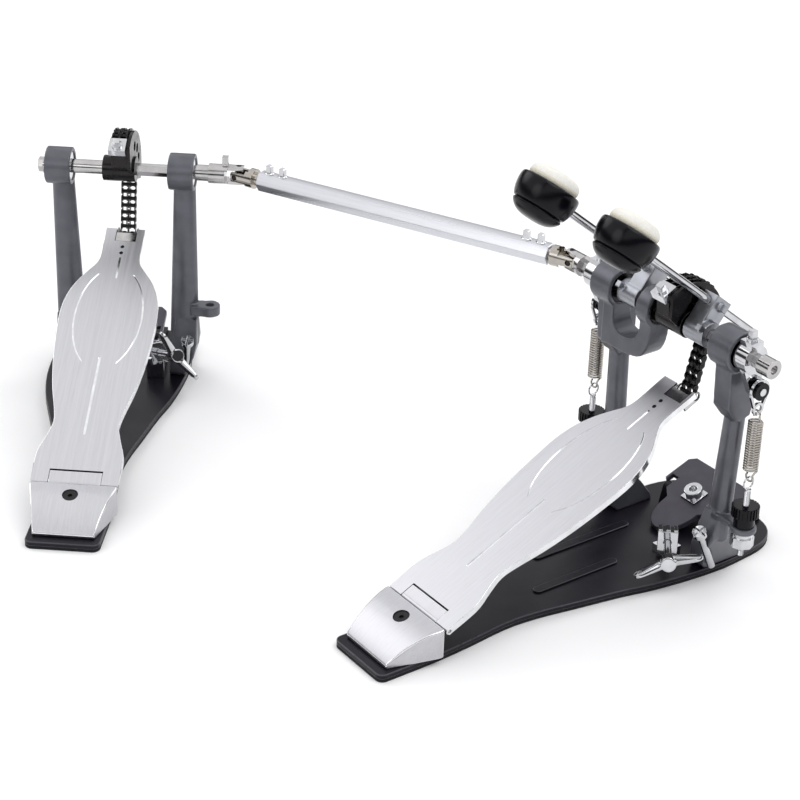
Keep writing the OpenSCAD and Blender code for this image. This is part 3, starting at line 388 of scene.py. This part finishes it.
class Shape:
    """Collects solids into one mesh, each with its own finish."""

    def __init__(self, name, *finishes):
        self.name = name
        self.finishes = list(finishes)
        self.points, self.faces, self.finish_of = [], [], []

    def add(self, points, faces, finish):
        base = len(self.points)
        self.points += [tuple(p) for p in points]
        self.faces += [[base + i for i in f] for f in faces]
        if finish not in self.finishes:
            self.finishes.append(finish)
        self.finish_of += [self.finishes.index(finish)] * len(faces)

    def rings(self, rings, finish, closed=False, caps=True):
        """Joins rings of equal length by quads."""
        n = len(rings[0])
        points = [p for r in rings for p in r]
        faces = []
        count = len(rings) if closed else len(rings) - 1
        for k in range(count):
            a, b = k * n, (k + 1) % len(rings) * n
            faces += [[a + i, a + (i + 1) % n, b + (i + 1) % n, b + i] for i in range(n)]
        if caps and not closed:
            faces += [list(range(n))[::-1], [(len(rings) - 1) * n + i for i in range(n)]]
        self.add(points, faces, finish)

    def lathe(self, profile, matrix, finish, sides=32):
        """Turns (radius, height) pairs round the matrix's Z axis."""
        rings = []
        for r, h in profile:
            r = max(r, 1e-5)
            rings.append([matrix @ Vector((r * math.cos(a), r * math.sin(a), h))
                          for a in (2 * math.pi * i / sides for i in range(sides))])
        self.rings(rings, finish)

    def sweep(self, path, section, finish, closed=False, up=None):
        """Carries a flat section, given as (side, up) pairs, along a path."""
        path = [Vector(p) for p in path]
        n = len(path)
        rings, side = [], None
        for i, p in enumerate(path):
            ahead = path[(i + 1) % n] if closed or i < n - 1 else p
            behind = path[i - 1] if closed or i > 0 else p
            t = (ahead - behind).normalized()
            if up is not None:
                s = t.cross(Vector(up)).normalized()
            elif side is None:
                s = t.orthogonal().normalized()
            else:
                s = (side - t * side.dot(t)).normalized()
            side = s
            v = s.cross(t)
            rings.append([p + s * a + v * b for a, b in section])
        self.rings(rings, finish, closed)

    def prism(self, outline, low, high, matrix, finish):
        """Pushes an outline in X and Y from one height to another."""
        self.rings([[matrix @ Vector((x, y, h)) for x, y in outline] for h in (low, high)], finish)

    def make(self, body, replaces=(), smooth=35):
        """Makes the piece. It rides on the body, or on none yet if it is to be blended."""
        bm = bmesh.new()
        corners = [bm.verts.new(p) for p in self.points]
        for indices, m in zip(self.faces, self.finish_of):
            f = bm.faces.new([corners[i] for i in indices])
            f.material_index = m
            f.smooth = True
        bmesh.ops.recalc_face_normals(bm, faces=bm.faces)
        for e in bm.edges:
            e.smooth = e.calc_face_angle(0) < math.radians(smooth)
        mesh = bpy.data.meshes.new(self.name)
        bm.to_mesh(mesh)
        bm.free()
        for finish in self.finishes:
            mesh.materials.append(MATERIALS[finish])
        obj = link(bpy.data.objects.new(self.name, mesh))
        if replaces:
            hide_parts(*replaces)
        if body:
            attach(obj, body)
        return obj


def circle(r, n):
    return [(r * math.cos(2 * math.pi * i / n), r * math.sin(2 * math.pi * i / n)) for i in range(n)]


def axis_x(matrix, x, y, z):
    """Frame whose Z axis is the given frame's X axis."""
    return matrix @ Matrix.Translation((x, y, z)) @ Matrix.Rotation(math.pi / 2, 4, "Y")


# ---- Chain ----
LINK_TURN = CHAIN_PITCH / CHAIN_R
LEAVE_TURN = math.atan2(CHAIN_ATTACH.y, CHAIN_ATTACH.x) + math.acos(CHAIN_R / CHAIN_ATTACH.length)
LANE = 3.4 * MM           # from the chain's middle to the middle of each row
ROLLER_HALF = 1.5 * MM
CHAIN_ROLLER_R = 1.68 * MM
SPAN_LINKS = 10
WRAP_LINKS = 11


def link_outline(a, b, r_end, r_waist):
    """Waisted plate outline round two pins, in (y, z)."""
    along = (b - a).normalized()
    points = []
    for centre, direction in ((b, along), (a, -along)):
        side = Vector((-direction.y, direction.x))
        for k in range(-5, 6):
            turn = math.radians(k * 21)
            points.append(centre + r_end * (direction * math.cos(turn) + side * math.sin(turn)))
        points.append((a + b) / 2 + side * r_waist)
    return points


def chain_piece(name, side, pins, first, body, replaces, free_end=False):
    """Links through the given pins; first says whether the first link has the inner plates."""
    matrix = MAIN if side == "right" else SLAVE
    x0 = CHAIN_X[side]
    shape = Shape(name, "black_oxide")
    plate = matrix @ Matrix(((0, 0, 1, x0), (1, 0, 0, 0), (0, 1, 0, AXLE_H), (0, 0, 0, 1)))
    for k in range(len(pins) - 1):
        inner = (k + first) % 2 == 0
        outline = link_outline(pins[k], pins[k + 1], LINK_H / 2 - 0.15 * MM, 2.0 * MM)
        rows = ([LANE * s + d * 1.95 * MM for s in (-1, 1) for d in (-1, 1)] if inner
                else [-LANE - 2.85 * MM, 0, LANE + 2.85 * MM])
        for x in rows:
            half = 0.62 * MM if not inner and x == 0 else 0.36 * MM
            shape.prism(outline, x - half, x + half, plate, "black_oxide")
    last = len(pins) if free_end else len(pins) - 1
    for k in range(last):
        y, z = pins[k]
        along = axis_x(matrix, x0, y, AXLE_H + z)
        tip = CHAIN_HALF - 0.1 * MM
        shape.lathe([(0, -tip), (0.8 * MM, -tip), (1.15 * MM, -tip + 0.3 * MM),
                     (1.15 * MM, tip - 0.3 * MM), (0.8 * MM, tip), (0, tip)], along, "black_oxide", 12)
        for s in (-1, 1):
            low, high = s * LANE - ROLLER_HALF, s * LANE + ROLLER_HALF
            shape.lathe([(0, low), (CHAIN_ROLLER_R, low), (CHAIN_ROLLER_R, high), (0, high)],
                        along, "black_oxide", 16)
    if free_end:
        y, z = pins[-1]
        tip = 9.1 * MM
        shape.lathe([(0, -tip), (1.2 * MM, -tip), (1.2 * MM, tip), (0, tip)],
                    axis_x(matrix, x0, y, AXLE_H + z), "steel", 16)
    return shape.make(body, replaces)


def chains():
    arc = [CHAIN_R * Vector((math.cos(LEAVE_TURN + k * LINK_TURN), math.sin(LEAVE_TURN + k * LINK_TURN)))
           for k in range(WRAP_LINKS + 1)]
    span = [arc[0] + (CHAIN_ATTACH - arc[0]) * k / SPAN_LINKS for k in range(SPAN_LINKS + 1)]
    shaft = {"right": "right_shaft", "left": "slave_shaft_body"}
    for side in ("right", "left"):
        chain_piece(f"chain_lower.{side}", side, span[1:], 1, f"{side}_chain_lower", (), True)
        parts = [("chain_first", [arc[0], span[1]], 0, f"{side}_chain_lower", ()),
                 ("chain_middle", arc[0:3][::-1], 0, f"{side}_chain_middle", (f"chain_middle_{side}",)),
                 ("chain_upper", arc[2:5][::-1], 0, f"{side}_chain_upper", (f"chain_upper_{side}",)),
                 ("chain_wrap", arc[4:][::-1], 1, shaft[side], (f"chain_wrap_{side}",))]
        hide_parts(f"chain_span_{side}")
        for name, pins, first, body, replaced in parts:
            chain_piece(f"{name}.{side}", side, pins, first, body, replaced)


# ---- Springs ----
COIL_LOW, COIL_HIGH = 114 * MM, 156 * MM
COIL_R = 5.15 * MM
WIRE_R = 0.8 * MM
TURNS = 20
LOOP_LOW, LOOP_HIGH = 108.2 * MM, 161.4 * MM
LOOP_R = 3.4 * MM


def coil_path(x):
    """Lower hook, helix and upper hook as one wire."""
    y = ROLLER.x
    steps = 18
    helix = []
    for i in range(TURNS * steps + 1):
        a = 2 * math.pi * i / steps
        helix.append(Vector((x + COIL_R * math.cos(a), y + COIL_R * math.sin(a),
                             COIL_LOW + (COIL_HIGH - COIL_LOW) * i / (TURNS * steps))))
    high = [Vector((x + LOOP_R * math.cos(t), y, LOOP_HIGH + LOOP_R * math.sin(t)))
            for t in (math.radians(d) for d in range(-30, 226, 15))]
    low = [Vector((x + LOOP_R * math.cos(t), y, LOOP_LOW + LOOP_R * math.sin(t)))
           for t in (math.radians(d) for d in range(-225, 31, 15))]
    return low + helix + high


def springs():
    for side in ("right", "left"):
        node = f"spring_coil_{side}"
        x = SPRING_X[side]
        shape = Shape(node + ".wire", "nickel")
        shape.sweep(coil_path(x), circle(WIRE_R, 8), "nickel")
        obj = shape.make(None, (node,), smooth=60)
        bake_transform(obj)


# ---- Beaters ----
def beater_place(side):
    """Frame at the head's middle, its Z axis pointing out of the pad."""
    return (Matrix.Translation((BEATER_X[side], 0, AXLE_H)) @ Matrix.Rotation(BEATER_LEAN, 4, "X")
            @ Matrix.Translation((0, ROD_OFFSET, BEATER_REACH[side])) @ Matrix.Rotation(-math.pi / 2, 4, "X"))


def bend(p, q, r, n=8):
    return [tuple((1 - t) ** 2 * a + 2 * t * (1 - t) * b + t * t * c for a, b, c in zip(p, q, r))
            for t in (i / n for i in range(n + 1))]


def scaled(points):
    return [(r * MM, h * MM) for r, h in points]


def beaters():
    cap = scaled([(0.1, -20.5), (6.6, -20.5)] + bend((7.4, -20.4), (15.6, -19.6), (19.6, -13.4))
                 + bend((20.0, -12.6), (20.0, -11.9), (19.2, -11.6), 4))
    barrel = scaled(bend((19.0, -11.5), (19.2, -11.0), (20.2, -10.6), 3)
                    + bend((20.8, -10.2), (23.7, -5.0), (24, 2.6), 12)
                    + bend((24, 3.2), (24, 7.6), (22.4, 8.3), 8)
                    + bend((22.2, 8.4), (21.4, 8.7), (20.2, 8.7), 3) + [(0.1, 8.7)])
    band = scaled([(0.1, 8.4), (18.8, 8.4)] + bend((19.2, 9.0), (20.0, 10.2), (19.9, 12.0), 5)
                  + [(0.1, 12.0)])
    face = scaled([(0.1, 11.9), (19.85, 11.9)] + bend((19.8, 12.6), (19.2, 16.8), (14.8, 18.3), 10)
                  + bend((14.0, 18.6), (8, 19.7), (0.1, 19.75), 8))
    for side in ("right", "left"):
        place = beater_place(side)
        head = Shape(f"beater_head.{side}", "black_plastic")
        head.lathe(cap + barrel, place, "black_plastic", 96)
        head.make(body_of(f"beater_head_{side}"), (f"beater_head_{side}",), smooth=50)
        pad = Shape(f"beater_pad.{side}", "felt", "pad_face")
        pad.lathe(band, place, "felt", 96)
        pad.lathe(face, place, "pad_face", 96)
        pad.make(body_of(f"beater_pad_{side}"), (f"beater_pad_{side}",), smooth=50)


# ---- Parts that keep their CAD shape ----
LUG_TOP = 66 * MM         # below it a tension knob is its nut and washer
SPRING_ROD_R = 2.5 * MM
EYE_Z = 103 * MM
SCREW_FRONT = -238 * MM   # the heel screw is in front of this, in a pedal's frame
LIP_FRONT = 40 * MM       # the hoop clamp's lip and ears are behind this
OVAL = (31 * MM, 170 * MM, 58 * MM)  # half width, middle and half length of the tread's oval
JAW = Matrix.Translation((-14 * MM, 56 * MM, 19.5 * MM)) @ Matrix.Rotation(math.radians(20), 4, "X")


def roller_finish(centre, _):
    """Black roller on the pin; the pin's two ends and everything above them are chrome."""
    out = math.hypot(centre.y - ROLLER.x, centre.z - ROLLER.y)
    aside = min(abs(centre.x - x) for x in SPRING_X.values())
    roller_r, roller_half = 7.2 * MM, 3.3 * MM
    return 1 if out < roller_r and aside < roller_half else 0


def knob_finish(centre, _):
    """Black knurled knob above the lug, bright nut and washer below it."""
    return 0 if centre.z > LUG_TOP else 1


def jaw_finish(place):
    """The bush on the jaw's plate is bright and stands on a black washer."""
    back = (place @ JAW).inverted()

    def pick(centre, _):
        p = back @ centre
        bush_r, bush_low, bush_y = 7.7 * MM, 7.9 * MM, 2 * MM
        if math.hypot(p.x, p.y - bush_y) < bush_r and p.z > bush_low:
            return 1
        washer_half, washer_low = 8.2 * MM, 6.6 * MM
        on_washer = abs(p.x) < washer_half and abs(p.y - bush_y) < washer_half
        return 2 if on_washer and p.z > washer_low else 0
    return pick


def board_finish(place, slot_x):
    """The tread is brushed; its flanks and grooves are polished, and the walls of the slot and of the hinge
    notch are black as painted shade.
    """
    back = (place @ BOARD).inverted()

    def pick(centre, normal):
        p = back @ centre
        up = (back.to_3x3() @ normal).z
        slot = abs(p.x - slot_x) < 11 * MM and 236 * MM < p.y < 262 * MM
        notch = abs(p.x) < 27 * MM and p.y < 20 * MM
        # the walls of the slot and the notch are black as painted shade
        if abs(up) < 0.5 and (slot or notch):
            return 2
        floor = up > 0.9 and p.z < 2.7 * MM and abs(p.x) < 50 * MM
        return 1 if abs(up) < 0.6 or floor else 0
    return pick


def clamp_finish(place):
    """The chain clamp's two screws are black."""
    back = (place @ BOARD).inverted()

    def pick(centre, _):
        p = back @ centre
        screws_end, plate_low = 252 * MM, -2.6 * MM
        return 1 if p.y < screws_end and p.z > plate_low else 0
    return pick


def fastener_finish(place):
    """The heel screw is black; the spur bolts and pins are bright."""
    back = place.inverted()
    return lambda centre, _: 1 if (back @ centre).y < SCREW_FRONT else 0


def block_finish(place):
    """The hoop clamp's lip and ears are black, its finned block is bright."""
    back = place.inverted()
    return lambda centre, _: 1 if (back @ centre).y > LIP_FRONT else 0


def spring_rods():
    """Threaded rods, each with an eye for the coil's lower hook."""
    shape = Shape("spring_rods.thread", "chrome")
    pitch, depth = 0.8 * MM, 0.28 * MM
    low, high = 40 * MM, EYE_Z - 6 * MM
    eye_wide, eye_high, eye_wire = 4.8 * MM, 5.13 * MM, 0.75 * MM
    turns = int((high - low) / pitch)
    for x in SPRING_X.values():
        place = Matrix.Translation((x, ROLLER.x, 0))
        thread = [(1e-5, low)]
        for k in range(turns):
            thread += [(SPRING_ROD_R - depth, low + k * pitch), (SPRING_ROD_R, low + (k + 0.5) * pitch)]
        thread += [(SPRING_ROD_R, high), (SPRING_ROD_R, high + 0.6 * MM), (1e-5, high + 0.8 * MM)]
        shape.lathe(thread, place, "chrome", 20)
        # the eye is tall and thin, so that the coil's hook keeps clear of it when the spring leans
        eye = [(x, ROLLER.x + eye_wide * math.cos(a), EYE_Z + eye_high * math.sin(a))
               for a in (2 * math.pi * i / 32 for i in range(32))]
        shape.sweep(eye, circle(eye_wire, 12), "chrome", closed=True, up=(1, 0, 0))
    shape.make(body_of("spring_rods"), ("spring_rods",), smooth=30)


def board_rim(p, slot_x):
    """Whether a point in the footboard's frame is on its outer rim, clear of the hinge and the slot."""
    in_slot = abs(p.x - slot_x) < 9.4 * MM and p.y > 255 * MM
    groove = abs(p.x) < 13 * MM and p.y < 254 * MM
    half_width, middle, half_length = OVAL
    oval = (p.x / half_width) ** 2 + ((p.y - middle) / half_length) ** 2 < 1
    return p.y > 14 * MM and not (in_slot or groove or oval)


def carried_over():
    for side, place in (("right", MAIN), ("left", SLAVE)):
        board = (place @ BOARD).inverted()
        slot_x = CHAIN_X[side]
        soften(f"base_pad_{side}", "pad_rubber", 0.6 * MM)
        # the base plate's rounded edges are a lighter grey as a painted highlight
        soften(f"base_plate_{side}", "base_black", 0.8 * MM, "base_edge_painted_highlight")
        screw = place @ Vector((0, -247 * MM, 25 * MM))
        soften(f"heel_plate_{side}", f"brushed_{side}", 1.1 * MM, "board_edge",
               where=lambda p: (p - screw).length > 11 * MM)
        soften(f"footboard_{side}", f"brushed_{side}", 1.8 * MM, "board_edge",
               pick=board_finish(place, slot_x), picks=("board_edge", "black_screw_and_painted_shade"),
               where=lambda p: board_rim(board @ p, slot_x))
        # the clamp's rounded edges are black as painted shade of the gap round the plate; its two screws are
        # black in colour
        soften(f"chain_clamp_{side}", "steel", 0.5 * MM, "black_screw_and_painted_shade",
               pick=clamp_finish(place), picks=("black_screw_and_painted_shade",))
        soften(f"hoop_clamp_body_{side}", "chrome", 0.5 * MM,
               pick=block_finish(place), picks=("base_black",))
        soften(f"clamp_jaw_{side}", "jaw_grey", 0.7 * MM,
               pick=jaw_finish(place), picks=("chrome", "base_black"))
        soften(f"tension_knob_{side}", "black_plastic", 0.3 * MM,
               pick=knob_finish, picks=("chrome",))
        soften(f"spring_stirrup_{side}", "chrome", 0.3 * MM)
        soften(f"cam_{side}", "black_oxide", 0.4 * MM)
        soften(f"chain_anchor_{side}", "chrome", 0.5 * MM)
        cast(f"beater_holder_{side}", "cast_silver", 0.4 * MM, 5, 0.5)
        soften(f"rocker_{side}", "chrome", 0.5 * MM, pick=roller_finish, picks=("black_plastic",))
        soften(f"beater_rod_{side}", "chrome", 0.4 * MM)
        soften(f"joint_cross_{side}", "black_oxide", 0.3 * MM)
        cast(f"wing_bolt_{side}", "chrome", 0.5 * MM, 10, 0.5)
        cast(f"post_outer_{side}", "cast_grey")
        cast(f"post_inner_{side}", "cast_grey")
    # the right bearings are black as painted shade where they sit in the post's shadow; the left ones are
    # chrome
    soften("bearings_right", "black_oxide", 0.3 * MM)
    soften("fasteners_right", "chrome", 0.3 * MM,
           pick=fastener_finish(MAIN), picks=("black_screw_and_painted_shade",))
    soften("bearings_and_fasteners_left", "chrome", 0.3 * MM,
           pick=fastener_finish(SLAVE), picks=("black_screw_and_painted_shade",))
    soften("main_shaft", "steel", 0.4 * MM)
    soften("slave_shaft", "steel", 0.4 * MM)
    soften("left_hub", "steel", 0.4 * MM)
    soften("tube_yoke_right", "nickel", 0.4 * MM)
    soften("drive_rod_left", "nickel", 0.4 * MM)


# ---- Drive tube ----
JOINT_LEFT = SLAVE @ Vector((102 * MM, 0, AXLE_H))
JOINT_RIGHT = Vector((-121 * MM, 0, AXLE_H))
TUBE_START, TUBE_END = 22 * MM, (JOINT_RIGHT - JOINT_LEFT).length - 19 * MM
TUBE_HALF = 8 * MM      # from the tube's middle to each of its six flats
TUBE_BORE = 5.6 * MM


def key_bolt(shape, place, height, collar=4.5 * MM):
    """Square drum key bolt with a domed collar, standing on the frame's XY plane."""
    shape.lathe([(0, 0), (collar, 0), (collar, 0.9 * MM), (collar - 0.7 * MM, 1.5 * MM), (0, 1.7 * MM)],
                place, "chrome", 32)
    half, corner = 2.45 * MM, 0.5 * MM
    square = [(half * i - corner * a, half * j - corner * b)
              for i, j, a, b in ((1, -1, 0, -1), (1, 1, 0, 1), (1, 1, 1, 0), (-1, 1, -1, 0), (-1, 1, 0, 1),
                                 (-1, -1, 0, -1), (-1, -1, -1, 0), (1, -1, 1, 0))]
    top = [(x * 0.8, y * 0.8) for x, y in square]
    levels = ((square, 1 * MM), (square, height - 0.6 * MM), (top, height))
    shape.rings([[place @ Vector((x, y, h)) for x, y in outline] for outline, h in levels], "chrome")


def drive_tube():
    """Six flat sides with rounded corners round a round bore, and the four key bolts."""
    along = Matrix.Translation(JOINT_LEFT) @ Matrix.Rotation(DRIVE_TURN, 4, "Z")
    across = along @ Matrix.Rotation(math.pi / 2, 4, "Y")
    corner_r = 1.1 * MM
    outer, bore = [], []
    for k in range(6):
        middle = math.radians(60 * k + 30)
        reach = (TUBE_HALF - corner_r) / math.cos(math.radians(30))
        for j in range(-2, 3):
            a = middle + math.radians(15 * j)
            outer.append((reach * math.cos(middle) + corner_r * math.cos(a),
                          reach * math.sin(middle) + corner_r * math.sin(a)))
            a = math.radians(60 * k + 30 + 12 * j)
            bore.append((TUBE_BORE * math.cos(a), TUBE_BORE * math.sin(a)))
    inset = [(x * 0.95, y * 0.95) for x, y in outer]
    lip = 0.5 * MM
    rings = [(bore, TUBE_START), (inset, TUBE_START), (outer, TUBE_START + lip), (outer, TUBE_END - lip),
             (inset, TUBE_END), (bore, TUBE_END)]
    tube = Shape("drive_tube.fine", "tube_bright", "chrome")
    tube.rings([[across @ Vector((x, y, h)) for x, y in outline] for outline, h in rings], "tube_bright",
               closed=True)
    for x in (TUBE_START + 9 * MM, TUBE_START + 22 * MM, TUBE_END - 22 * MM, TUBE_END - 9 * MM):
        key_bolt(tube, along @ Matrix.Translation((x, 0, TUBE_HALF - 0.2 * MM)), 8 * MM, 4.3 * MM)
    tube.make(body_of("drive_tube"), ("drive_tube",), smooth=25)


# ---- Scene ----
def studio_ramp(tree, source, stops):
    """Greys along one direction of the room, given as (place, grey)."""
    ramp = tree.nodes.new("ShaderNodeValToRGB")
    tree.links.new(source, ramp.inputs["Fac"])
    elements = ramp.color_ramp.elements
    while len(elements) < len(stops):
        elements.new(0.5)
    for element, (position, grey) in zip(elements, stops):
        element.position = position
        element.color = (grey, grey, min(grey * 1.02, 1), 1)
    return ramp.outputs["Color"]


def studio():
    floor_mesh = bpy.data.meshes.new("floor")
    reach = 20.0
    floor_mesh.from_pydata([(-reach, -reach, 0), (reach, -reach, 0), (reach, reach, 0), (-reach, reach, 0)],
                           [], [(0, 1, 2, 3)])
    floor = link(bpy.data.objects.new("floor", floor_mesh))
    paper = bpy.data.materials.new("paper")
    paper.use_nodes = True
    shader = paper.node_tree.nodes["Principled BSDF"]
    shader.inputs["Base Color"].default_value = (0.93, 0.93, 0.93, 1)
    shader.inputs["Roughness"].default_value = 0.9
    shader.inputs["Specular IOR Level"].default_value = 0.1
    floor_mesh.materials.append(paper)

    world = bpy.data.worlds.new("studio")
    bpy.context.scene.world = world
    world.use_nodes = True
    tree = world.node_tree
    background = tree.nodes["Background"]
    background.inputs["Strength"].default_value = 1.15
    place = tree.nodes.new("ShaderNodeTexCoord")
    split = tree.nodes.new("ShaderNodeSeparateXYZ")
    tree.links.new(place.outputs["Generated"], split.inputs["Vector"])
    # white tent with dark flags: one ramp goes up the walls, the other across the room
    up = studio_ramp(tree, split.outputs["Z"], ((0.0, 0.3), (0.05, 0.04), (0.26, 0.06),
                                                (0.36, 0.95), (0.75, 0.9), (1.0, 1.0)))
    across = studio_ramp(tree, split.outputs["X"], ((0.0, 1.0), (0.28, 1.0), (0.33, 0.15),
                                                    (0.42, 0.15), (0.47, 1.0), (1.0, 0.9)))
    product = tree.nodes.new("ShaderNodeMix")
    product.data_type = "RGBA"
    product.blend_type = "MULTIPLY"
    product.inputs["Factor"].default_value = 1.0
    tree.links.new(up, product.inputs[6])
    tree.links.new(across, product.inputs[7])
    # the eye sees a plain white backdrop; only reflections see the flags
    seen = tree.nodes.new("ShaderNodeLightPath")
    backdrop = tree.nodes.new("ShaderNodeMix")
    backdrop.data_type = "RGBA"
    backdrop.inputs[7].default_value = (0.85, 0.85, 0.86, 1)
    tree.links.new(seen.outputs["Is Camera Ray"], backdrop.inputs["Factor"])
    tree.links.new(product.outputs[2], backdrop.inputs[6])
    tree.links.new(backdrop.outputs[2], background.inputs["Color"])

    middle = Vector((-0.2, -0.15, 0.1))
    for name, place, size, power in (("key", (0.9, 0.4, 2.2), 1.6, 14), ("left", (-2.1, -0.9, 1.5), 1.6, 9),
                                     ("front", (0.3, -2.2, 1.2), 1.4, 6), ("back", (-0.3, 2.1, 1.5), 1.6, 8)):
        data = bpy.data.lights.new(name, "AREA")
        data.shape = "DISK"
        data.size = size
        data.energy = power
        lamp = link(bpy.data.objects.new(name, data))
        lamp.location = place
        lamp.rotation_euler = (middle - Vector(place)).to_track_quat("-Z", "Y").to_euler()


def camera():
    data = bpy.data.cameras.new("camera")
    data.lens = 97.93
    data.sensor_width = 36
    cam = link(bpy.data.objects.new("camera", data))
    yaw, pitch, roll = (math.radians(a) for a in (53.34, -27.95, 1.91))
    ahead = Vector((-math.sin(yaw) * math.cos(pitch), math.cos(yaw) * math.cos(pitch), math.sin(pitch)))
    right = Vector((math.cos(yaw), math.sin(yaw), 0))
    up = right.cross(ahead)
    tilted = math.cos(roll) * right + math.sin(roll) * up
    upright = math.cos(roll) * up - math.sin(roll) * right
    turn = Matrix((tilted, upright, -ahead)).transposed().to_4x4()
    cam.matrix_world = Matrix.Translation((1.06591, -1.04878, 0.91442)) @ turn
    bpy.context.scene.camera = cam
    bpy.context.scene.view_settings.view_transform = "Standard"


carried_over()
chains()
springs()
spring_rods()
beaters()
drive_tube()
studio()
camera()

bpy.context.view_layer.update()
